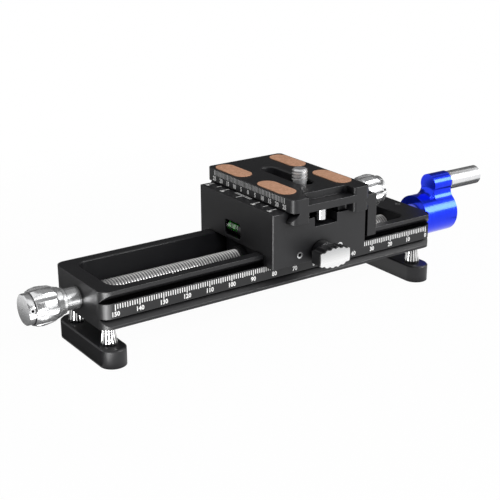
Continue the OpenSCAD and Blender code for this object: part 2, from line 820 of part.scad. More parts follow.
module nut_screws() {
    z = groove_z - cap_sunk - cap_head_h;
    color(steel) on_rail() both_y(nut_screw_y) translate([groove_mid, 0, z])
        cap_screw(nut_screw_r, z - roof_z + nut_screw_in);
}

module gib_strip() {
    rail = rail_w / 2;
    l = carriage_l - 2 * edge_c;
    color(black) on_rail() translate([carriage_at + edge_c, 0, 0]) along_x(l) polygon([
        [-gib_out, carriage_z], [hook_d - rail, carriage_z], [-rail - side_gap, hook_top],
        [-rail - side_gap, roof_z - side_gap], [-gib_out, roof_z - side_gap]]);
}

module gib_screws() {
    color(silver) on_rail() for (x = [0, gib_screw_gap]) {
        translate([carriage_at + gib_screw_x + x, -gib_out, carriage_z + gib_screw_z])
            rotate([90, 0, 0]) grub(gib_screw_r, carriage_w / 2 - gib_out - end_gap);
    }
}

// The lock knob's outline: two shallow arcs with notches, cut off at both ends
module lock_outline() {
    rise = (lock_h - lock_end_h) / 2;
    arc_r = (pow(lock_l / 2, 2) + pow(rise, 2)) / (2 * rise);
    difference() {
        intersection() {
            square([lock_l, lock_h], center = true);
            translate([0, lock_h / 2 - arc_r]) circle(arc_r, $fn = 120);
            translate([0, arc_r - lock_h / 2]) circle(arc_r, $fn = 120);
        }
        for (side = [0, 1], i = [-2:2]) {
            mirror([0, side]) translate([0, lock_h / 2 - arc_r])
                rotate(asin(i * notch_pitch / arc_r))
                    translate([0, arc_r + notch_r - notch_d]) circle(notch_r);
        }
    }
}

module at_lock() {
    translate([carriage_at + lock_x, -carriage_w / 2, carriage_z + gib_screw_z]) children();
}

module lock_knob() {
    color(black) on_rail() at_lock() difference() {
        union() {
            translate([0, lock_t / 2 - lock_reach, 0]) along_y(lock_t) lock_outline();
            translate([0, lock_t - lock_reach, 0])
                rod_y(lock_hub_r, lock_reach - lock_t - lock_gap);
        }
        translate([0, lock_cap_t - lock_reach, 0]) rod_y(lock_screw_r + seat_gap, lock_reach);
    }
}

module lock_screw() {
    color(steel) on_rail() at_lock() translate([0, lock_cap_t - lock_reach, 0])
        rod_y(lock_screw_r, lock_reach - lock_cap_t + carriage_w / 2 - gib_out - end_gap);
}

module at_vial() {
    translate([carriage_at + level_gap + vial_r, level_y, carriage_z + level_z])
        children();
}

module level_vial() {
    color("#8fd67a") on_rail() at_vial() difference() {
        translate([0, -vial_l / 2, 0]) rod_y(vial_r, vial_l);
        translate([0, vial_wall - vial_l / 2, 0]) rod_y(vial_in, vial_l - 2 * vial_wall);
    }
}

module level_liquid() {
    l = vial_l - 2 * vial_wall - 2 * seat_gap;
    color("#4fae3c") on_rail() at_vial() translate([0, -l / 2, 0]) rod_y(vial_in - seat_gap, l);
}

module clamp_jaw() {
    side = plate_x + plate_w;
    right = jaw_x + jaw_t;
    bottom = carriage_top - jaw_h;
    color(black) on_rail() difference() {
        along_y(carriage_w) polygon(concat([for (p = nose) [side - p[0], p[1]]], [
            [side + plate_gap, bed_z + end_gap], [jaw_x, bed_z + end_gap], [jaw_x, bottom],
            [right, bottom], [right, carriage_top - jaw_c], [right - jaw_c, carriage_top]]));
        translate([jaw_x - cut, 0, clamp_z]) rod_x(clamp_r + run_gap, jaw_t + 2 * cut);
        both_y(guide_y) translate([jaw_x - cut, 0, guide_z])
            rod_x(guide_r + seat_gap, jaw_t - guide_wall + cut);
    }
}

module jaw_pins() {
    color(steel) on_rail() both_y(guide_y)
        translate([carriage_at + carriage_l - guide_in, 0, guide_z])
            rod_x(guide_r, guide_in + jaw_gap + jaw_t - guide_wall - seat_gap);
}

module clamp_screw() {
    left = carriage_at + carriage_l - clamp_in;
    color(steel) on_rail() translate([left, 0, clamp_z])
        rod_x(clamp_r, clamp_neck_x + clamp_l - knob_cap_t - seat_gap - left);
}

module clamp_washer() {
    color(silver) on_rail() translate([jaw_x + jaw_t + end_gap, 0, clamp_z]) difference() {
        rod_x(ring_r, clamp_washer_t);
        translate([-cut, 0, 0]) rod_x(clamp_r + seat_gap, clamp_washer_t + 2 * cut);
    }
}

module at_clamp_knob() {
    translate([clamp_neck_x + clamp_l, 0, clamp_z]) mirror([1, 0, 0]) children();
}

module clamp_knob() {
    color(silver) on_rail() at_clamp_knob() hand_knob(clamp_neck_l, clamp_r);
}

module clamp_grub() {
    color(steel) on_rail() at_clamp_knob() knob_grub(clamp_r);
}

// The plan of the plate's front notches, whose mouth lies at y = 0
module front_notch() {
    rounded(notch_w, 2 * notch_in, mouth_r);
    difference() {
        translate([-notch_w / 2 - mouth_r, -cut]) square([notch_w + 2 * mouth_r, mouth_r + cut]);
        for (side = [-1, 1]) {
            translate([side * (notch_w / 2 + mouth_r), mouth_r]) circle(mouth_r);
        }
    }
}

module pad_outline(gap) {
    for (x = [-1, 1], y = [-pad_front, pad_back]) {
        translate([x * (plate_w / 2 - pad_in - pad_w / 2), y])
            stadium(pad_w + 2 * gap, pad_l + 2 * gap);
    }
}

module qr_plate() {
    color(black) on_rail() translate([plate_mid, 0, plate_z]) difference() {
        intersection() {
            along_y(plate_l) polygon(both_sides(plate_side, plate_w));
            translate([0, 0, -cut])
                linear_extrude(plate_h + 2 * cut) rounded(plate_w, plate_l, plate_r);
        }
        translate([-recess_w / 2, -plate_l / 2 - cut, -cut])
            cube([recess_w, plate_l + 2 * cut, recess_d + cut]);
        translate([0, -plate_l / 2, -cut]) linear_extrude(recess_d + cut) front_notch();
        translate([0, -plate_l / 2, plate_h - notch_down]) linear_extrude(plate_h) front_notch();
        linear_extrude(plate_h + cut) stadium(slot_w, slot_l);
        translate([0, 0, plate_h - slot_c]) flared_stadium(slot_w, slot_l, slot_c + cut);
        translate([0, 0, plate_h - pad_d]) linear_extrude(pad_d + cut) pad_outline(seat_gap);
        both_y(stop_y) cylinder(r = stop_r + seat_gap, h = recess_d + stop_in + end_gap);
    }
}

module grip_pads() {
    color(tan) on_rail() translate([plate_mid, 0, plate_top - pad_d])
        linear_extrude(pad_d + pad_proud) pad_outline(0);
}

module stop_pins() {
    color(silver) on_rail() both_y(stop_y) translate([plate_mid, 0, plate_z - stop_down])
        cylinder(r = stop_r, h = stop_down + recess_d + stop_in);
}

module at_stud() {
    translate([plate_mid, -stud_y, 0]) children();
}

module camera_screw() {
    bottom = head_top - stud_head_h;
    tip = plate_top + stud_up;
    color(silver) on_rail() at_stud() difference() {
        rotate_extrude() polygon([[0, bottom], [stud_head_r, bottom], [stud_head_r, head_top],
            [waist_r, head_top], [waist_r, plate_top], [stud_r, plate_top], [stud_r, tip - stud_c],
            [stud_r - stud_c, tip], [0, tip]]);
        translate([0, 0, bottom]) mirror([0, 0, 1]) socket(stud_head_h);
    }
}

module camera_washer() {
    color(steel) on_rail() at_stud() translate([0, 0, ceiling_z - end_gap - stud_washer_t])
        difference() {
            cylinder(r = stud_head_r, h = stud_washer_t);
            translate([0, 0, -cut]) cylinder(r = stud_r + run_gap, h = stud_washer_t + 2 * cut);
        }
}

module foot_bar() {
    difference() {
        union() {
            linear_extrude(bar_h - bar_c) stadium(bar_w, bar_l);
            translate([0, 0, bar_h]) mirror([0, 0, 1])
                flared_stadium(bar_w - 2 * bar_c, bar_l - 2 * bar_c, bar_c);
        }
        both_y(post_y) {
            translate([0, 0, -cut]) cylinder(r = foot_screw_r + seat_gap, h = bar_h + 2 * cut);
            translate([0, 0, -cut])
                cylinder(r = cap_head_r + side_gap, h = cap_sunk + cap_head_h + cut);
        }
    }
}

module foot_bar_left() {
    color(black) on_rail() at_left_bar() foot_bar();
}

module foot_bar_right() {
    color(black) on_rail() at_right_bar() foot_bar();
}

module foot_posts() {
    tilt = atan((post_r - post_top_r) / post_h);
    color(silver) on_rail() at_posts() translate([0, 0, bar_h]) difference() {
        cylinder(r1 = post_r, r2 = post_top_r, h = post_h);
        translate([0, 0, -cut]) cylinder(r = foot_screw_r + seat_gap, h = post_h + 2 * cut);
        for (i = [0:post_flutes - 1]) {
            rotate([0, 0, i * 360 / post_flutes]) translate([post_r, 0, 0])
                rotate([0, -tilt, 0]) translate([0, 0, -cut])
                    cylinder(r = post_flute_r, h = post_h + 3 * cut);
        }
    }
}

module foot_screws() {
    z = cap_sunk + cap_head_h;
    color(steel) on_rail() at_posts() translate([0, 0, z]) mirror([0, 0, 1])
        cap_screw(foot_screw_r, rail_z + foot_screw_in - z);
}

rail_body();
bush_left();
bush_right();
bush_screw();
lead_screw();
thrust_washer();
focus_knob();
focus_grub();
crank_arm();
crank_spacer();
crank_grub();
crank_pin();
crank_grip();
carriage_body();
nut_block();
lead_nut();
nut_screws();
gib_strip();
gib_screws();
lock_knob();
lock_screw();
level_vial();
level_liquid();
clamp_jaw();
jaw_pins();
clamp_screw();
clamp_washer();
clamp_knob();
clamp_grub();
qr_plate();
grip_pads();
stop_pins();
camera_screw();
camera_washer();
foot_bar_left();
foot_bar_right();
foot_posts();
foot_screws();
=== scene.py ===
import json
import math

import bmesh
import bpy
from mathutils import Matrix, Vector


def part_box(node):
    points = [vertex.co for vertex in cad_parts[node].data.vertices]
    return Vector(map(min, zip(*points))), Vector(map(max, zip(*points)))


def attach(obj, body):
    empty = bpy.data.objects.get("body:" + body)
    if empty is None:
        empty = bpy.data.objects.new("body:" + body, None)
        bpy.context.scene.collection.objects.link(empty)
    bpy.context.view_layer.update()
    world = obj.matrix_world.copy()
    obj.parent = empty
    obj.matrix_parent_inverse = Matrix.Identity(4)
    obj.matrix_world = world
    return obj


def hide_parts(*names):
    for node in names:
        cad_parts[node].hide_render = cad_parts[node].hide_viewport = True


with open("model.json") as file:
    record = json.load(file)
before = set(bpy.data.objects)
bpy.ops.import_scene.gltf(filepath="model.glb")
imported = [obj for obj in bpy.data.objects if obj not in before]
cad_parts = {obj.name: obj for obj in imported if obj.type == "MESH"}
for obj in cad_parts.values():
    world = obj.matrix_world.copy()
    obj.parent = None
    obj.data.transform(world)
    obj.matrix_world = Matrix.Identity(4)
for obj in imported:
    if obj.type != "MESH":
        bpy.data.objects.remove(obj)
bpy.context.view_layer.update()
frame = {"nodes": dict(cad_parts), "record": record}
MM = 0.001
X, Y, Z = Vector((1, 0, 0)), Vector((0, 1, 0)), Vector((0, 0, 1))


# Camera: where the photograph was taken from, and how it looks at the rail

CAMERA_PLACE = Vector((-0.253325, -0.342125, 0.176))
CAMERA_AZIMUTH = math.radians(34.72)
CAMERA_DOWN = math.radians(19.83)
CAMERA_ROLL = math.radians(-0.21)
# Focal length and sensor width in millimetres
CAMERA_LENS = 79.52
SENSOR = 36
NEAREST_SEEN = 0.01
FURTHEST_SEEN = 20


def make_camera():
    """The photograph's camera."""
    data = bpy.data.cameras.new("camera")
    data.lens = CAMERA_LENS
    data.sensor_width = SENSOR
    data.clip_start = NEAREST_SEEN
    data.clip_end = FURTHEST_SEEN
    camera = bpy.data.objects.new("camera", data)
    bpy.context.scene.collection.objects.link(camera)
    ahead = Vector((
        math.sin(CAMERA_AZIMUTH) * math.cos(CAMERA_DOWN),
        math.cos(CAMERA_AZIMUTH) * math.cos(CAMERA_DOWN),
        -math.sin(CAMERA_DOWN),
    ))
    turn = ahead.to_track_quat("-Z", "Y").to_matrix() @ Matrix.Rotation(CAMERA_ROLL, 3, "Z")
    camera.matrix_world = Matrix.Translation(CAMERA_PLACE) @ turn.to_4x4()
    bpy.context.scene.camera = camera


# Nodes and patterns

# The sockets of a Mix node for colours, by number because their names repeat
MIX_SHARE = 0
MIX_FIRST = 6
MIX_SECOND = 7
MIX_RESULT = 2
# Most of a noise lies between these values
NOISE_LOW = 0.3
NOISE_HIGH = 0.7
# How much of a satin metal's light is mirrored. The rest scatters, which keeps its dark sides light grey
SATIN = 0.85
# The painted reflection on the lock knob's face is palest up to this share of its height
REFLECTION_PALEST_UP_TO = 0.35


def srgb(hex_colour):
    """An sRGB hex colour as linear red, green, blue and alpha."""
    shares = [int(hex_colour[i:i + 2], 16) / 255 for i in (1, 3, 5)]
    return [s / 12.92 if s <= 0.04045 else ((s + 0.055) / 1.055) ** 2.4 for s in shares] + [1]


def add(tree, kind, inputs=None, **settings):
    """Adds a node with its settings, and sets or links its inputs. A hex colour is made linear."""
    made = tree.nodes.new(kind)
    for name, value in settings.items():
        setattr(made, name, value)
    for socket, value in (inputs or {}).items():
        if isinstance(value, bpy.types.NodeSocket):
            tree.links.new(value, made.inputs[socket])
        else:
            made.inputs[socket].default_value = srgb(value) if isinstance(value, str) else value
    return made


def new_material(name):
    """A material with an empty tree, the tree, and its Object coordinates."""
    material = bpy.data.materials.new(name)
    material.use_nodes = True
    tree = material.node_tree
    tree.nodes.clear()
    place = add(tree, "ShaderNodeTexCoord").outputs["Object"]
    return material, tree, place


def shaded(material, inputs):
    """Ends a material with the shader that has these inputs."""
    shader = add(material.node_tree, "ShaderNodeBsdfPrincipled", inputs)
    add(material.node_tree, "ShaderNodeOutputMaterial", {"Surface": shader.outputs["BSDF"]})
    return material


def patches(tree, place, size, stretch=(1, 1, 1), detail=2):
    """A pattern from 0 to 1 in soft patches size metres across. A small share in stretch draws them out."""
    drawn_out = add(tree, "ShaderNodeMapping", {"Vector": place, "Scale": stretch}).outputs["Vector"]
    noise = add(tree, "ShaderNodeTexNoise", {"Vector": drawn_out, "Scale": 1 / size, "Detail": detail})
    return add(tree, "ShaderNodeMapRange", {
        "Value": noise.outputs["Fac"], "From Min": NOISE_LOW, "From Max": NOISE_HIGH}).outputs["Result"]


def varied(tree, share, colours, roughness):
    """Shader inputs for a skin whose colour and roughness go from one value to another with a share."""
    colour = add(tree, "ShaderNodeMix", {
        MIX_SHARE: share, MIX_FIRST: colours[0], MIX_SECOND: colours[1]}, data_type="RGBA")
    finish = add(tree, "ShaderNodeMapRange", {
        "Value": share, "To Min": roughness[0], "To Max": roughness[1]})
    return {"Base Color": colour.outputs[MIX_RESULT], "Roughness": finish.outputs["Result"]}


def shade_gaps(tree, skin, dark, reach, closed, opened):
    """Paints shade into a skin in grooves and gaps, where little light comes in. Returns how open each place
    is.
    """
    light = add(tree, "ShaderNodeAmbientOcclusion", {"Distance": reach}, samples=8).outputs["AO"]
    lit = add(tree, "ShaderNodeMapRange", {
        "Value": light, "From Min": closed, "From Max": opened}).outputs["Result"]
    colour = add(tree, "ShaderNodeMix", {
        MIX_SHARE: lit, MIX_FIRST: dark, MIX_SECOND: skin["Base Color"]}, data_type="RGBA")
    skin["Base Color"] = colour.outputs[MIX_RESULT]
    return lit


def edge_wear(tree, soft, reach):
    """From 0 on flat faces to 1 on the edges, painted paler as handling wear and as a highlight. Soft is the
    rounded normal.
    """
    flat = add(tree, "ShaderNodeNewGeometry").outputs["Normal"]
    same = add(tree, "ShaderNodeVectorMath", {0: soft, 1: flat}, operation="DOT_PRODUCT").outputs["Value"]
    return add(tree, "ShaderNodeMapRange", {
        "Value": same, "From Min": 1, "From Max": 1 - reach}).outputs["Result"]


def depth_in(tree, place, centre, across, near, far):
    """From 0 to 1 as the distance from an axis goes from near to far. Across is 0 for the axis, else 1."""
    moved = add(tree, "ShaderNodeVectorMath", {0: place, 1: centre}, operation="SUBTRACT").outputs["Vector"]
    flat = add(tree, "ShaderNodeVectorMath", {0: moved, 1: across}, operation="MULTIPLY").outputs["Vector"]
    reach = add(tree, "ShaderNodeVectorMath", {0: flat}, operation="LENGTH").outputs["Value"]
    return add(tree, "ShaderNodeMapRange", {
        "Value": reach, "From Min": near, "From Max": far}).outputs["Result"]


# Materials

def black_anodised():
    """Aluminium, milled, bead blasted and anodised black: a soft satin skin with a fine even grain."""
    material, tree, place = new_material("black_anodised_blasted_aluminium")
    # The blasted grain is 0.1 mm, drawn three times as coarse so that it shows
    grain = add(tree, "ShaderNodeTexNoise", {"Vector": place, "Scale": 1 / (0.3 * MM)}).outputs["Fac"]
    rough = add(tree, "ShaderNodeMapRange", {
        "Value": grain, "From Min": NOISE_LOW, "From Max": NOISE_HIGH, "To Min": 0.36, "To Max": 0.46})
    # The dye's depth drifts a little over 14 mm
    dye = add(tree, "ShaderNodeMix", {
        MIX_SHARE: patches(tree, place, 14 * MM), MIX_FIRST: "#161618", MIX_SECOND: "#1b1b1d"},
        data_type="RGBA")
    # The edges are broken to a radius of 0.3 mm, and painted paler as handling wear and as a painted
    # highlight
    soft = add(tree, "ShaderNodeBevel", {"Radius": 0.3 * MM}, samples=6).outputs["Normal"]
    worn = add(tree, "ShaderNodeMix", {
        MIX_SHARE: edge_wear(tree, soft, 0.5), MIX_FIRST: dye.outputs[MIX_RESULT], MIX_SECOND: "#3c3c3f"},
        data_type="RGBA")
    skin = {"Base Color": worn.outputs[MIX_RESULT], "Roughness": rough.outputs["Result"]}
    # Painted shade: grooves and gaps are painted near black and given less shine
    lit = shade_gaps(tree, skin, "#050506", reach=7 * MM, closed=0.32, opened=0.66)
    shine = add(tree, "ShaderNodeMapRange", {"Value": lit, "To Min": 0.02, "To Max": 0.42})
    relief = add(tree, "ShaderNodeBump", {
        "Height": grain, "Distance": 0.004 * MM, "Strength": 0.4, "Normal": soft})
    return shaded(material, skin | {
        "Specular IOR Level": shine.outputs["Result"], "Normal": relief.outputs["Normal"]})


def turned_aluminium():
    """Aluminium turned bright on a lathe and satin blasted: a soft mirror that never goes black."""
    material, tree, place = new_material("bright_turned_aluminium")
    # The tool's feed is 0.1 mm a turn, drawn at 0.4 mm so that it shows
    rings = patches(tree, place, 0.4 * MM, stretch=(1, 0.01, 0.01), detail=1)
    skin = varied(tree, rings, ("#dfe0e1", "#ebebec"), (0.17, 0.22))
    # Painted shade: flutes, grooves and gaps are painted dark grey
    shade_gaps(tree, skin, "#39393a", reach=1.6 * MM, closed=0.55, opened=0.95)
    return shaded(material, skin | {"Metallic": SATIN})


def polished_face():
    """The lock knob's face: domed and polished aluminium, pale, with a painted reflection that greys towards
    its top.
    """
    material, tree, place = new_material("domed_polished_aluminium")
    low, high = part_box("lock_knob")
    height = add(tree, "ShaderNodeSeparateXYZ", {0: place}).outputs["Z"]
    palest = low.z + REFLECTION_PALEST_UP_TO * (high.z - low.z)
    down = add(tree, "ShaderNodeMapRange", {"Value": height, "From Min": high.z, "From Max": palest})
    # Painted reflection: the colour goes from grey at the top to pale lower down
    colour = add(tree, "ShaderNodeMix", {
        MIX_SHARE: down.outputs["Result"], MIX_FIRST: "#a9a9aa", MIX_SECOND: "#f4f4f4"}, data_type="RGBA")
    # The buffing wheel leaves waves about 2.5 mm wide
    rough = add(tree, "ShaderNodeMapRange", {
        "Value": patches(tree, place, 2.5 * MM), "To Min": 0.22, "To Max": 0.26})
    return shaded(material, {
        "Base Color": colour.outputs[MIX_RESULT], "Roughness": rough.outputs["Result"], "Metallic": SATIN})


def nickel_plate():
    """Steel with bright nickel plate, as on the posts: smooth, a little warm, and very even."""
    material, tree, place = new_material("bright_nickel_plated_steel")
    # The plate's brightness varies over about a millimetre
    cloud = patches(tree, place, 1.2 * MM)
    skin = varied(tree, cloud, ("#e2e2e1", "#f2f2f1"), (0.14, 0.22))
    # Painted shade: the grooves between the ribs and other gaps are painted grey
    shade_gaps(tree, skin, "#6b6b6d", reach=1.2 * MM, closed=0.45, opened=0.8)
    return shaded(material, skin | {"Metallic": SATIN})


def threaded_steel(name, centre, across, root, crest, oiled):
    """A rolled steel thread: bright crests, and roots painted greyer as their shade, in the colour oiled."""
    material, tree, place = new_material(name)
    share = depth_in(tree, place, centre, across, root, crest)
    # Painted shade: grey in the roots, bright on the crests
    return shaded(material, varied(tree, share, (oiled, "#eeedeb"), (0.45, 0.33)) | {"Metallic": SATIN})


def plain_steel():
    """Turned steel with an oiled surface: darker grey than the plated posts."""
    material, tree, place = new_material("oiled_turned_steel")
    # The oil lies in patches of about 0.8 mm
    oil = patches(tree, place, 0.8 * MM)
    return shaded(material, varied(tree, oil, ("#8d8f92", "#a9abae"), (0.24, 0.36)) | {"Metallic": 1})


def bearing_bronze():
    """Porous bearing bronze soaked in oil: dark brown with darker pores."""
    material, tree, place = new_material("oiled_bearing_bronze")
    # The pores are under 0.1 mm wide, drawn at 0.4 mm so that they show
    pores = patches(tree, place, 0.4 * MM, detail=4)
    return shaded(material, varied(tree, pores, ("#33291b", "#4a3c28"), (0.25, 0.4)) | {"Metallic": 1})


def black_acetal():
    """Machined black acetal, an oily matt plastic, as the nut that runs on the lead screw."""
    material, tree, place = new_material("machined_black_acetal")
    # The tool's feed is 0.1 mm a turn, drawn at 0.4 mm so that it shows
    marks = patches(tree, place, 0.4 * MM, stretch=(1, 0.05, 0.05), detail=3)
    skin = varied(tree, marks, ("#121213", "#1c1c1d"), (0.4, 0.55))
    return shaded(material, skin | {"Specular IOR Level": 0.4})


def blue_anodised():
    """Aluminium, polished and dyed blue as it is anodised: clear deep blue with pale blue highlights."""
    material, tree, place = new_material("blue_anodised_polished_aluminium")
    # Polishing leaves faint marks round the crank, drawn 0.8 mm wide so that they show
    marks = patches(tree, place, 0.8 * MM, stretch=(1, 0.15, 0.15))
    return shaded(material, varied(tree, marks, ("#0b30f0", "#1338f8"), (0.19, 0.24)) | {
        # Dye scatters part of the light, so that faces that mirror the black rail stay blue
        "Metallic": 0.85,
        "Specular IOR Level": 0.1,
        # The clear anodised layer mirrors the soft box without the dye's colour
        "Coat Weight": 0.28,
        "Coat Roughness": 0.15,
    })


def cork_rubber():
    """Cork granules bound in rubber: matt tan with darker and lighter grains."""
    material, tree, place = new_material("tan_cork_rubber")
    # Cork granules are 0.5 mm, drawn at 0.7 mm so that they show
    grains = add(tree, "ShaderNodeTexVoronoi", {"Vector": place, "Scale": 1 / (0.7 * MM)}).outputs["Color"]
    tone = add(tree, "ShaderNodeSeparateColor", {"Color": grains}).outputs["Red"]
    colour = add(tree, "ShaderNodeMix", {
        MIX_SHARE: tone, MIX_FIRST: "#bf8f71", MIX_SECOND: "#d8a688"}, data_type="RGBA")
    relief = add(tree, "ShaderNodeBump", {"Height": tone, "Distance": 0.03 * MM, "Strength": 0.4})
    return shaded(material, {
        "Base Color": colour.outputs[MIX_RESULT],
        "Roughness": 0.85,
        "Specular IOR Level": 0.25,
        "Normal": relief.outputs["Normal"],
    })


def vial_glass():
    """Drawn glass tube: clear, with faint ripples along its length."""
    material, tree, place = new_material("drawn_glass")
    # Drawing leaves ripples about 0.8 mm wide
    along = add(tree, "ShaderNodeMapping", {"Vector": place, "Scale": (1, 0.1, 1)}).outputs["Vector"]
    ripple = add(tree, "ShaderNodeTexNoise", {"Vector": along, "Scale": 1 / (0.8 * MM)}).outputs["Fac"]
    relief = add(tree, "ShaderNodeBump", {"Height": ripple, "Distance": 0.004 * MM, "Strength": 0.3})
    return shaded(material, {
        "Base Color": "#f4fff2",
        "Roughness": 0.03,
        "IOR": 1.5,
        "Transmission Weight": 1,
        "Normal": relief.outputs["Normal"],
    })


def vial_liquid():
    """Dyed spirit in the level: a clear strong green."""
    material, tree, place = new_material("green_dyed_spirit")
    # The dye's strength drifts over 3 mm
    colour = add(tree, "ShaderNodeMix", {
        MIX_SHARE: patches(tree, place, 3 * MM), MIX_FIRST: "#1a6a1c", MIX_SECOND: "#2a9a2c"},
        data_type="RGBA")
    return shaded(material, {
        "Base Color": colour.outputs[MIX_RESULT],
        "Roughness": 0.1,
        "IOR": 1.36,
        "Transmission Weight": 0.2,
    })


def white_ink():
    """White ink printed on the anodised skin: matt, and worn in small specks."""
    material, tree, place = new_material("printed_white_ink")
    # The ink wears in specks of 0.25 mm
    colour = add(tree, "ShaderNodeMix", {
        MIX_SHARE: patches(tree, place, 0.25 * MM), MIX_FIRST: "#d9d9d7", MIX_SECOND: "#ffffff"},
        data_type="RGBA")
    return shaded(material, {"Base Color": colour.outputs[MIX_RESULT], "Roughness": 0.6})


# Stage, with azimuths in compass degrees from +Y towards +X

FLOOR_SIZE = 2.4
# How far from the middle the shadow reaches. It starts to fade at half of that
SHADOW_REACH = 0.28
# How much of the floor's own shading shows
SHADOW_SHARE = 0.03
# How strongly the white room lights matt faces. Shiny ones mirror it at full strength
ROOM_LIGHT = 0.32
TARGET = Vector((0, 0, 0.03))
FLOOR_CARD_Z = 0.5 * MM


def to_object(name, bm):
    """Makes an object of a bmesh, which it frees."""
    mesh = bpy.data.meshes.new(name)
    bm.to_mesh(mesh)
    bm.free()
    made = bpy.data.objects.new(name, mesh)
    bpy.context.scene.collection.objects.link(made)
    return made


def sheet(name, width, length, material):
    """A flat sheet at the origin that faces up."""
    bm = bmesh.new()
    bmesh.ops.create_grid(bm, x_segments=1, y_segments=1, size=0.5)
    bmesh.ops.scale(bm, vec=(width, length, 1), verts=bm.verts)
    made = to_object(name, bm)
    made.data.materials.append(material)
    return made


def lit_rays(tree):
    """1 for rays from the camera and for those that metal or glass sends on, else 0."""
    path = add(tree, "ShaderNodeLightPath").outputs
    seen = add(tree, "ShaderNodeMath", {
        0: path["Is Camera Ray"], 1: path["Is Glossy Ray"]}, operation="MAXIMUM").outputs["Value"]
    return add(tree, "ShaderNodeMath", {
        0: seen, 1: path["Is Transmission Ray"]}, operation="MAXIMUM").outputs["Value"]


def make_world():
    """A room that lights the object softly and looks pure white."""
    world = bpy.data.worlds.new("studio")
    bpy.context.scene.world = world
    world.use_nodes = True
    tree = world.node_tree
    tree.nodes.clear()
    room = add(tree, "ShaderNodeBackground", {"Color": "#ffffff", "Strength": ROOM_LIGHT})
    white = add(tree, "ShaderNodeBackground", {"Color": "#ffffff", "Strength": 1})
    mix = add(tree, "ShaderNodeMixShader", {0: lit_rays(tree), 1: room.outputs[0], 2: white.outputs[0]})
    add(tree, "ShaderNodeOutputWorld", {"Surface": mix.outputs[0]})


def make_floor():
    """A white floor that keeps a soft shadow under the object and fades to the background's white."""
    material, tree, place = new_material("matt_white_floor")
    paint = add(tree, "ShaderNodeBsdfDiffuse", {"Color": "#f4f4f4"})
    white = add(tree, "ShaderNodeEmission", {"Color": "#ffffff", "Strength": 1})
    away = add(tree, "ShaderNodeVectorMath", {0: place}, operation="LENGTH").outputs["Value"]
    fade = add(tree, "ShaderNodeMapRange", {
        "Value": away, "From Min": SHADOW_REACH / 2, "From Max": SHADOW_REACH, "To Min": 1 - SHADOW_SHARE})
    share = add(tree, "ShaderNodeMath", {0: fade.outputs["Result"], 1: lit_rays(tree)}, operation="MULTIPLY")
    mix = add(tree, "ShaderNodeMixShader", {0: share.outputs[0], 1: paint.outputs[0], 2: white.outputs[0]})
    add(tree, "ShaderNodeOutputMaterial", {"Surface": mix.outputs[0]})
    sheet("floor", FLOOR_SIZE, FLOOR_SIZE, material)


def facing_object(azimuth, elevation, distance):
    """A place at a distance in a direction, turned so that its -Z looks at the object."""
    a, e = math.radians(azimuth), math.radians(elevation)
    out = Vector((math.sin(a) * math.cos(e), math.cos(a) * math.cos(e), math.sin(e)))
    return Matrix.Translation(TARGET + out * distance) @ out.to_track_quat("Z", "Y").to_matrix().to_4x4()


def area_light(name, azimuth, elevation, distance, width, height, radiance):
    """A soft box that faces the object. Its power gives the radiance that a mirror would show."""
    data = bpy.data.lights.new(name, "AREA")
    data.shape = "RECTANGLE"
    data.size = width
    data.size_y = height
    data.energy = radiance * math.pi * width * height
    lamp = bpy.data.objects.new(name, data)
    bpy.context.scene.collection.objects.link(lamp)
    lamp.matrix_world = facing_object(azimuth, elevation, distance)
    lamp.visible_camera = False
    # The cards stand in for it in shiny surfaces, so that flat tops don't glare from behind
    lamp.visible_glossy = False


def glowing_card(name, width, height, glow, place):
    """A card that only shows in shiny surfaces, as a photographer sets up to shape metal."""
    material, tree, _ = new_material(name)
    light = add(tree, "ShaderNodeEmission", {"Color": "#ffffff", "Strength": glow})
    add(tree, "ShaderNodeOutputMaterial", {"Surface": light.outputs[0]})
    panel = sheet(name, width, height, material)
    panel.matrix_world = place
    panel.visible_camera = False
    panel.visible_diffuse = False
    panel.visible_shadow = False
    panel.visible_transmission = False


def card(name, azimuth, elevation, distance, width, height, glow):
    """A glowing card in a direction from the object, turned to it."""
    glowing_card(name, width, height, glow, facing_object(azimuth, elevation, distance))


def floor_card(name, low, high, glow):
    """A glowing card on the floor, from one corner to another, for the faces that mirror the floor."""
    centre = Vector(((low[0] + high[0]) / 2, (low[1] + high[1]) / 2, FLOOR_CARD_Z))
    glowing_card(name, high[0] - low[0], high[1] - low[1], glow, Matrix.Translation(centre))


def make_stage():
    """The white room, the soft box, and the cards that shape what the metal mirrors."""
    make_world()
    make_floor()
    area_light("front", azimuth=190, elevation=30, distance=0.9, width=0.8, height=0.6, radiance=5.2)
    # A bright card for the crank's highlight, dark ones behind the rail and the camera, a dim one above
    card("card_key", azimuth=139, elevation=24, distance=0.9, width=0.55, height=0.36, glow=16)
    card("card_back", azimuth=35, elevation=22, distance=1.3, width=3.4, height=1.3, glow=0.08)
    card("card_front", azimuth=217, elevation=22, distance=1.35, width=2.4, height=1.3, glow=0.08)
    card("card_top", azimuth=60, elevation=66, distance=1.3, width=1.6, height=0.9, glow=0.22)
    # Dark cards for the left faces and the grip, and bright ones for rounded corners and ends
    floor_card("card_floor", (-0.135, -0.013), (-0.045, 0.3), glow=0.1)
    floor_card("card_corner", (-0.155, -0.115), (-0.108, -0.038), glow=26)
    floor_card("card_edge", (-0.106, -0.09), (-0.075, -0.058), glow=16)
    floor_card("card_bar", (-0.116, -0.036), (-0.096, -0.018), glow=10)
    floor_card("card_grip", (0.118, -0.03), (0.19, 0.06), glow=0.02)


# Shapes that several pieces share

# Edges that turn by more degrees than this are shaded sharp
SHARP_ANGLE = 30
TURN_STEPS = 48
# How close vertices lie to each other, or to a cut, when they count as one
MERGE_REACH = 0.002 * MM
CUT_REACH = 0.001 * MM
CAD_MERGE_REACH = 0.001 * MM
# Faces that turn by fewer degrees than this are joined into one
FLAT_ANGLE = 0.5
# The highest weight, with which a large flat face decides how its edges are shaded
LARGE_FACES_LEAD = 100


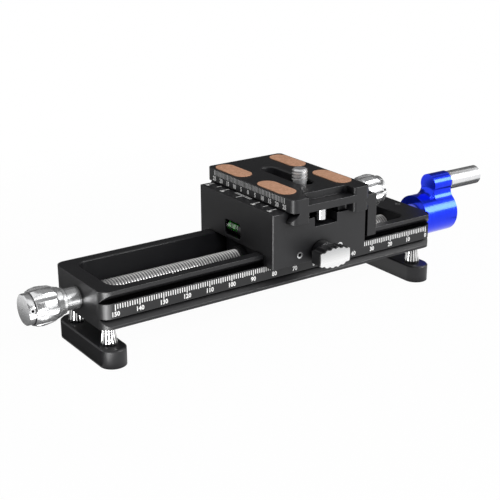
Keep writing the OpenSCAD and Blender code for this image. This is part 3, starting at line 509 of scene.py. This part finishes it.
def finish_piece(name, bm, body, material, replaces=(), sharp=SHARP_ANGLE):
    """Makes an object of a bmesh, with its place in the mesh, and ties it to its body."""
    piece = to_object(name, bm)
    piece.data.materials.append(material)
    for face in piece.data.polygons:
        face.use_smooth = True
    piece.data.set_sharp_from_angle(angle=math.radians(sharp))
    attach(piece, body)
    if replaces:
        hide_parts(*replaces)
    return piece


def middle(node):
    """The centre of a node's box."""
    low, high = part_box(node)
    return (low + high) / 2


def turned(bm, points):
    """Spins a line of (place along X, radius) round X into a closed turned shape."""
    verts = [bm.verts.new((x, 0, r)) for x, r in points]
    edges = [bm.edges.new(pair) for pair in zip(verts, verts[1:])]
    bmesh.ops.spin(bm, geom=verts + edges, cent=(0, 0, 0), axis=X, angle=2 * math.pi, steps=TURN_STEPS,
                   use_merge=True)


def tidy(bm):
    """Joins the vertices that meet, and turns all faces outwards."""
    bmesh.ops.remove_doubles(bm, verts=bm.verts, dist=MERGE_REACH)
    bmesh.ops.recalc_face_normals(bm, faces=bm.faces)


def cut(bm, place, normal, keep_beyond=False):
    """Cuts a bmesh along a plane, and takes away what lies beyond it unless that is kept."""
    bmesh.ops.bisect_plane(bm, geom=bm.verts[:] + bm.edges[:] + bm.faces[:], dist=CUT_REACH,
                           plane_co=place, plane_no=normal, clear_outer=not keep_beyond)


def join(bm, other):
    """Adds another bmesh to this one and frees it."""
    mesh = bpy.data.meshes.new("work")
    other.to_mesh(mesh)
    other.free()
    bm.from_mesh(mesh)
    bpy.data.meshes.remove(mesh)


def cad_copy(node):
    """A bmesh of a CAD node's mesh, with its loose triangles joined."""
    bm = bmesh.new()
    bm.from_mesh(frame["nodes"][node].data)
    bmesh.ops.remove_doubles(bm, verts=bm.verts, dist=CAD_MERGE_REACH)
    bmesh.ops.dissolve_limit(bm, angle_limit=math.radians(FLAT_ANGLE), verts=bm.verts, edges=bm.edges)
    return bm


def smooth_copy(node, body, material):
    """A copy of a turned CAD node whose round faces are shaded smooth, so that they mirror cleanly."""
    piece = finish_piece(node + "_smooth", cad_copy(node), body, material, [node])
    normals = piece.modifiers.new("normals", "WEIGHTED_NORMAL")
    normals.keep_sharp = True
    normals.weight = LARGE_FACES_LEAD


# Threads

THREAD_STEPS = 24
# One turn of thread: places along the pitch, and how far each lies from root to crest
THREAD_SHARES = [(0, 0), (0.12, 0), (0.44, 1), (0.56, 1), (0.88, 0), (1, 0)]
THREAD_DEPTH_SHARE = 0.55
THREAD_MERGE_REACH = 0.01 * MM
# Turns that start before the thread's start, and are cut off
SPARE_TURNS = 2


def thread(bm, radius, pitch, start, end):
    """A right-hand thread along X from start to end, closed at both ends, with its crest at radius."""
    root = radius - pitch * THREAD_DEPTH_SHARE
    work = bmesh.new()
    verts = [work.verts.new((pitch * along, 0, root + (radius - root) * up)) for along, up in THREAD_SHARES]
    edges = [work.edges.new(pair) for pair in zip(verts, verts[1:])]
    bmesh.ops.spin(work, geom=verts + edges, cent=(0, 0, 0), axis=X, dvec=X * (pitch / THREAD_STEPS),
                   angle=2 * math.pi, steps=THREAD_STEPS)
    bmesh.ops.translate(work, vec=X * (start - SPARE_TURNS * pitch), verts=work.verts)
    turn = list(work.verts) + list(work.edges) + list(work.faces)
    copies = math.ceil((end - start) / pitch) + SPARE_TURNS
    for i in range(1, copies + 1):
        copy = bmesh.ops.duplicate(work, geom=turn)["geom"]
        moved = [part for part in copy if isinstance(part, bmesh.types.BMVert)]
        bmesh.ops.translate(work, vec=X * (pitch * i), verts=moved)
    bmesh.ops.remove_doubles(work, verts=work.verts, dist=THREAD_MERGE_REACH)
    cut(work, X * start, -X)
    cut(work, X * end, X)
    bmesh.ops.holes_fill(work, edges=work.edges, sides=0)
    bmesh.ops.recalc_face_normals(work, faces=work.faces)
    join(bm, work)


LEAD_PITCH = 1.25 * MM
LEAD_R = 4 * MM
JOURNAL_R = 3 * MM
BUSH_GAP = 0.1 * MM
# How deep under the crest the root's painted shade is full
LEAD_ROOT_SHADE_DEPTH = 0.6 * MM
ACROSS_X = (0, 1, 1)


def lead_screw():
    """The M8 lead screw: a thread in the rail's channel, and plain ends for the hand knob and crank."""
    low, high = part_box("lead_screw")
    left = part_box("bush_left")[1].x + BUSH_GAP
    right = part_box("bush_right")[0].x - BUSH_GAP
    bm = bmesh.new()
    thread(bm, LEAD_R, LEAD_PITCH, left, right)
    for start, end in ((low.x, left + LEAD_PITCH), (right - LEAD_PITCH, high.x)):
        turned(bm, [(start, 0), (start, JOURNAL_R), (end, JOURNAL_R), (end, 0)])
    tidy(bm)
    axis = middle("lead_screw")
    bmesh.ops.translate(bm, vec=Vector((0, axis.y, axis.z)), verts=bm.verts)
    steel = threaded_steel(
        "rolled_lead_screw_thread", axis, ACROSS_X, LEAD_R - LEAD_ROOT_SHADE_DEPTH, LEAD_R, "#858588")
    finish_piece("lead_screw_thread", bm, "screw", steel, ["lead_screw"])


STUD_PITCH = 1.27 * MM
STUD_R = 3.175 * MM
WAIST_R = 2.7 * MM
STUD_CHAMFER = 0.6 * MM
# How far the chamfer's foot lies inside the crest, and its top inside the root
CHAMFER_FOOT_IN = 0.15 * MM
CHAMFER_TOP_IN = 0.1 * MM
HEAD_BEVEL = 0.3 * MM
HEAD_GAP = 0.1 * MM
# How deep under the crest the camera screw's painted root shade is full
STUD_ROOT_SHADE_DEPTH = 0.55 * MM
ACROSS_Z = (1, 1, 0)


def camera_screw():
    """The camera screw: a quarter inch thread over the plate, a waist in its slot and a flat head below."""
    low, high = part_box("camera_screw")
    plate_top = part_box("qr_plate")[1].z
    head_r = (high.x - low.x) / 2
    head_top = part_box("camera_washer")[0].z - HEAD_GAP
    root = STUD_R - STUD_PITCH * THREAD_DEPTH_SHARE
    bm = bmesh.new()
    thread(bm, STUD_R, STUD_PITCH, plate_top, high.z - STUD_CHAMFER)
    turned(bm, [(high.z - 2 * STUD_CHAMFER, 0), (high.z - 2 * STUD_CHAMFER, root),
                (high.z - STUD_CHAMFER, STUD_R - CHAMFER_FOOT_IN), (high.z, root - CHAMFER_TOP_IN),
                (high.z, 0)])
    turned(bm, [(head_top, 0), (head_top, WAIST_R), (plate_top, WAIST_R), (plate_top, 0)])
    turned(bm, [(low.z, 0), (low.z, head_r - HEAD_BEVEL), (low.z + HEAD_BEVEL, head_r),
                (head_top - HEAD_BEVEL, head_r), (head_top, head_r - HEAD_BEVEL), (head_top, 0)])
    tidy(bm)
    bmesh.ops.rotate(bm, cent=(0, 0, 0), matrix=Matrix.Rotation(-math.pi / 2, 3, "Y"), verts=bm.verts)
    axis = middle("camera_screw")
    bmesh.ops.translate(bm, vec=Vector((axis.x, axis.y, 0)), verts=bm.verts)
    steel = threaded_steel(
        "rolled_camera_screw_thread", axis, ACROSS_Z, STUD_R - STUD_ROOT_SHADE_DEPTH, STUD_R, "#c2c2c4")
    finish_piece("camera_screw_thread", bm, "stud", steel, ["camera_screw"])


# Lock knob, posts and level

FACE_DEPTH = 1.1 * MM
FACE_SHARP_ANGLE = 40
DOME_RISE = 1.0 * MM
DOME_STEP = 0.6 * MM
# Vertices this close to the front belong to the face
FRONT_REACH = 0.01 * MM


def cut_off(bm, place, normal):
    """Cuts away what lies beyond a plane and closes the cut."""
    cut(bm, place, normal)
    open_edges = [e for e in bm.edges if e.is_boundary]
    bmesh.ops.holes_fill(bm, edges=open_edges, sides=0)


def crown(bm, low, high):
    """Crowns the front face of a bmesh, so that its edges lie further back than its middle."""
    for axis, normal in ((0, X), (2, Z)):
        for i in range(1, math.ceil((high[axis] - low[axis]) / DOME_STEP)):
            cut(bm, low + normal * (DOME_STEP * i), normal, keep_beyond=True)
    centre = (low + high) / 2
    half = (high - low) / 2
    for vert in bm.verts:
        if vert.co.y < low.y + FRONT_REACH:
            across = (vert.co.x - centre.x) / half.x
            up = (vert.co.z - centre.z) / half.z
            vert.co.y += DOME_RISE * (across * across + up * up) / 2


def lock_knob(black, bright):
    """The lock knob: a black notched bar on a round hub, with a bright face, slightly domed."""
    low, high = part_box("lock_knob")
    seam = Vector((0, low.y + FACE_DEPTH, 0))
    bm = cad_copy("lock_knob")
    cut_off(bm, seam, -Y)
    finish_piece("lock_knob_body", bm, "lock", black, ["lock_knob"])
    bm = cad_copy("lock_knob")
    cut_off(bm, seam, Y)
    crown(bm, low, high)
    bmesh.ops.recalc_face_normals(bm, faces=bm.faces)
    finish_piece("lock_knob_face", bm, "lock", bright, sharp=FACE_SHARP_ANGLE)


POST_R = 3.3 * MM
POST_TOP_R = 2.05 * MM
POST_PETALS = 14
POST_SHARP_ANGLE = 25
PETAL_TIP = 1.0 * MM
# How far out each vertex round a petal lies, above its tip and at the foot
PETAL_SHARES = [0.76, 0.97, 1.0, 0.97]
PETAL_FOOT_SHARES = [0.7, 0.75, 1.0, 0.75]


def foot_posts(material):
    """The four posts: fluted cones whose ribs end in points over the bars."""
    low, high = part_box("foot_posts")
    height = high.z - low.z
    segments = POST_PETALS * len(PETAL_SHARES)
    bm = bmesh.new()
    for x in (low.x + POST_R, high.x - POST_R):
        for y in (low.y + POST_R, high.y - POST_R):
            post = bmesh.new()
            bmesh.ops.create_cone(post, cap_ends=True, segments=segments, radius1=POST_R,
                                  radius2=POST_TOP_R, depth=height)
            cut(post, Z * (PETAL_TIP - height / 2), Z, keep_beyond=True)
            for vert in post.verts:
                turn = round(math.atan2(vert.co.y, vert.co.x) / (2 * math.pi) * segments)
                shares = PETAL_FOOT_SHARES if vert.co.z < PETAL_TIP / 2 - height / 2 else PETAL_SHARES
                share = shares[turn % len(shares)]
                vert.co.x *= share
                vert.co.y *= share
            bmesh.ops.translate(post, vec=(x, y, (low.z + high.z) / 2), verts=post.verts)
            join(bm, post)
    bmesh.ops.recalc_face_normals(bm, faces=bm.faces)
    finish_piece("foot_posts_fluted", bm, "frame", material, ["foot_posts"],
                 sharp=POST_SHARP_ANGLE)


VIAL_RING_W = 0.45 * MM
VIAL_RING_OUT = 0.04 * MM
VIAL_RING_GAP = 3.2 * MM
VIAL_SLEEVE_L = 2.4 * MM


def vial_rings(material):
    """Two black rings printed round the level's tube, and the sleeve that holds its front end."""
    low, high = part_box("level_vial")
    centre = (low + high) / 2
    radius = (high.z - low.z) / 2
    inner = radius - VIAL_RING_OUT
    outer = radius + VIAL_RING_OUT
    places = [(side * VIAL_RING_GAP / 2 - VIAL_RING_W / 2, VIAL_RING_W) for side in (-1, 1)]
    places.append((low.y - centre.y, VIAL_SLEEVE_L))
    bm = bmesh.new()
    for start, length in places:
        end = start + length
        turned(bm, [(start, inner), (start, outer), (end, outer), (end, inner), (start, inner)])
    tidy(bm)
    bmesh.ops.rotate(bm, cent=(0, 0, 0), matrix=Matrix.Rotation(math.pi / 2, 3, "Z"), verts=bm.verts)
    bmesh.ops.translate(bm, vec=centre, verts=bm.verts)
    finish_piece("level_rings", bm, "carriage", material)


# Printed marks

INK = 0.015 * MM
# A figure's height as a share of the font's size, how much bolder it is than the font, and its width
FIGURE_SHARE = 0.7
FIGURE_BOLD = 0.045
FIGURE_SQUEEZE = 0.92
# Reading directions: columns are the number's right, its top and its face
FACING_FRONT = Matrix((X, Z, -Y)).transposed()
FACING_LEFT = Matrix((-Y, Z, -X)).transposed()


def stroke(bm, centre, size):
    """A thin box of ink."""
    made = bmesh.ops.create_cube(bm, size=1)["verts"]
    bmesh.ops.scale(bm, vec=size, verts=made)
    bmesh.ops.translate(bm, vec=centre, verts=made)


def numeral(bm, text, height, turn, centre):
    """A printed number, upright along the second axis of turn, centred at a point."""
    curve = bpy.data.curves.new("numeral", "FONT")
    curve.body = text
    curve.align_x = "CENTER"
    curve.align_y = "CENTER"
    curve.size = height / FIGURE_SHARE
    curve.offset = height * FIGURE_BOLD
    curve.extrude = INK
    curve.resolution_u = 2
    made = bpy.data.objects.new("numeral", curve)
    bpy.context.scene.collection.objects.link(made)
    bpy.context.view_layer.update()
    mesh = bpy.data.meshes.new_from_object(made.evaluated_get(bpy.context.evaluated_depsgraph_get()))
    bpy.data.objects.remove(made)
    bpy.data.curves.remove(curve)
    squeeze = Matrix.Diagonal((FIGURE_SQUEEZE, 1, 1, 1))
    mesh.transform(Matrix.Translation(centre) @ turn.to_4x4() @ squeeze)
    bm.from_mesh(mesh)
    bpy.data.meshes.remove(mesh)


SCALE_ZERO = 3.9 * MM
SCALE_LENGTH = 150
TICK_W = 0.4 * MM
TICK_TOP = 9.55 * MM
TICK_BOTTOM = {1: 7.7 * MM, 5: 7.5 * MM, 10: 7.15 * MM}
SCALE_TEXT_Z = 5.75 * MM
SCALE_TEXT_H = 1.75 * MM


def rail_scale(ink):
    """The millimetre scale along the rail's front, with its zero at the crank."""
    low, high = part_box("rail_body")
    zero = high.x - SCALE_ZERO
    bm = bmesh.new()
    for n in range(SCALE_LENGTH + 1):
        step = 10 if n % 10 == 0 else 5 if n % 5 == 0 else 1
        bottom = TICK_BOTTOM[step]
        stroke(bm, (zero - n * MM, low.y - INK / 2, low.z + (TICK_TOP + bottom) / 2),
               (TICK_W, INK, TICK_TOP - bottom))
    finish_piece("rail_scale_marks", bm, "frame", ink)
    bm = bmesh.new()
    for n in range(0, SCALE_LENGTH + 1, 10):
        numeral(bm, str(n), SCALE_TEXT_H, FACING_FRONT, (zero - n * MM, low.y, low.z + SCALE_TEXT_Z))
    tidy(bm)
    finish_piece("rail_scale_numbers", bm, "frame", ink)


# From one number to the next, which is five marks on
PLATE_STEP = 4.85 * MM
PLATE_NUMBERS_EACH_WAY = 5
PLATE_TICK_TOP = 0.3 * MM
PLATE_TICK_L = 2.2 * MM
PLATE_TICK_W = {1: 0.2 * MM, 5: 0.3 * MM}
PLATE_TEXT_DOWN = 3.95 * MM
PLATE_TEXT_H = 1.75 * MM


def plate_scale(ink):
    """The scale on the plate's left side: marks about a millimetre apart, and a number at every fifth."""
    low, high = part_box("qr_plate")
    centre = (low.y + high.y) / 2
    tick_z = high.z - PLATE_TICK_TOP - PLATE_TICK_L / 2
    marks = PLATE_NUMBERS_EACH_WAY * 5
    bm = bmesh.new()
    for n in range(-marks, marks + 1):
        width = PLATE_TICK_W[1 if n % 5 else 5]
        stroke(bm, (low.x - INK / 2, centre + n * PLATE_STEP / 5, tick_z), (INK, width, PLATE_TICK_L))
    finish_piece("plate_scale_marks", bm, "plate", ink)
    bm = bmesh.new()
    for n in range(-PLATE_NUMBERS_EACH_WAY, PLATE_NUMBERS_EACH_WAY + 1):
        numeral(bm, str(5 * abs(n)), PLATE_TEXT_H, FACING_LEFT,
                (low.x, centre + n * PLATE_STEP, high.z - PLATE_TEXT_DOWN))
    tidy(bm)
    finish_piece("plate_scale_numbers", bm, "plate", ink)


# Marks stand half a step apart, and the middle one lies behind the jaw's own middle
JAW_STEP = 10.85 * MM
JAW_MIDDLE_BACK = 1.95 * MM
JAW_MARKS_EACH_WAY = 4
JAW_MARK_IN = 0.5 * MM
JAW_MARK_W = 0.45 * MM
JAW_LONG = 4.0 * MM
JAW_SHORT = 2.4 * MM
JAW_BOX = (1.2 * MM, 1.9 * MM)
JAW_BOX_IN = 0.2 * MM
JAW_BOX_FORWARD = 0.5 * MM
JAW_LINES_IN = (0.5 * MM, 1.3 * MM)
JAW_LINE_W = 0.3 * MM


def jaw_marks(ink):
    """The marks on the fixed jaw's top: long ones that end in boxes, short ones, and two middle lines."""
    low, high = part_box("carriage_body")
    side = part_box("qr_plate")[0].x
    centre = (low.y + high.y) / 2 + JAW_MIDDLE_BACK
    z = high.z + INK / 2
    bm = bmesh.new()
    for n in range(-JAW_MARKS_EACH_WAY, JAW_MARKS_EACH_WAY + 1):
        # The two middle lines take up the place of the marks next to the middle
        if abs(n) == 1:
            continue
        long = n % 2 == 0
        length = JAW_LONG if long else JAW_SHORT
        y = centre + n * JAW_STEP / 2
        stroke(bm, (side - JAW_MARK_IN - length / 2, y, z), (length, JAW_MARK_W, INK))
        if long and n:
            stroke(bm, (side - JAW_BOX_IN - length, y - JAW_BOX_FORWARD, z), (*JAW_BOX, INK))
    for line_in in JAW_LINES_IN:
        stroke(bm, (side - line_in, centre, z), (JAW_LINE_W, JAW_STEP, INK))
    finish_piece("jaw_marks", bm, "carriage", ink)


# The whole object

OWN_PIECES = ("lead_screw", "camera_screw", "foot_posts")
SMOOTH_SLOTS = ("bright_metal", "blue_anodised", "steel")
# Small steel screws that are as bright as the knobs
BRIGHT_SCREWS = ("focus_grub", "clamp_grub", "gib_screws")


def body_of(node):
    """The body that carries a node."""
    return next(body for body, nodes in frame["record"]["behaviour"]["bodies"].items() if node in nodes)


def build():
    """Gives each CAD node its material, and makes the pieces that the scene adds or replaces."""
    black = black_anodised()
    bright = turned_aluminium()
    by_slot = {
        "black_anodised": black,
        "bright_metal": bright,
        "steel": plain_steel(),
        "bronze": bearing_bronze(),
        "black_acetal": black_acetal(),
        "blue_anodised": blue_anodised(),
        "tan_rubber": cork_rubber(),
        "vial_glass": vial_glass(),
        "vial_liquid": vial_liquid(),
    }
    slots = {row["node"]: row["material_slot"] for row in frame["record"]["subparts"]}
    for name, node in frame["nodes"].items():
        node.data.materials.clear()
        node.data.materials.append(by_slot[slots[name]])
        if slots[name] in SMOOTH_SLOTS and name not in OWN_PIECES:
            material = bright if name in BRIGHT_SCREWS else by_slot[slots[name]]
            smooth_copy(name, body_of(name), material)
    lead_screw()
    camera_screw()
    lock_knob(black, polished_face())
    foot_posts(nickel_plate())
    vial_rings(black)
    ink = white_ink()
    rail_scale(ink)
    plate_scale(ink)
    jaw_marks(ink)


make_camera()
make_stage()
build()

scene = bpy.context.scene
scene.view_settings.view_transform = "Standard"
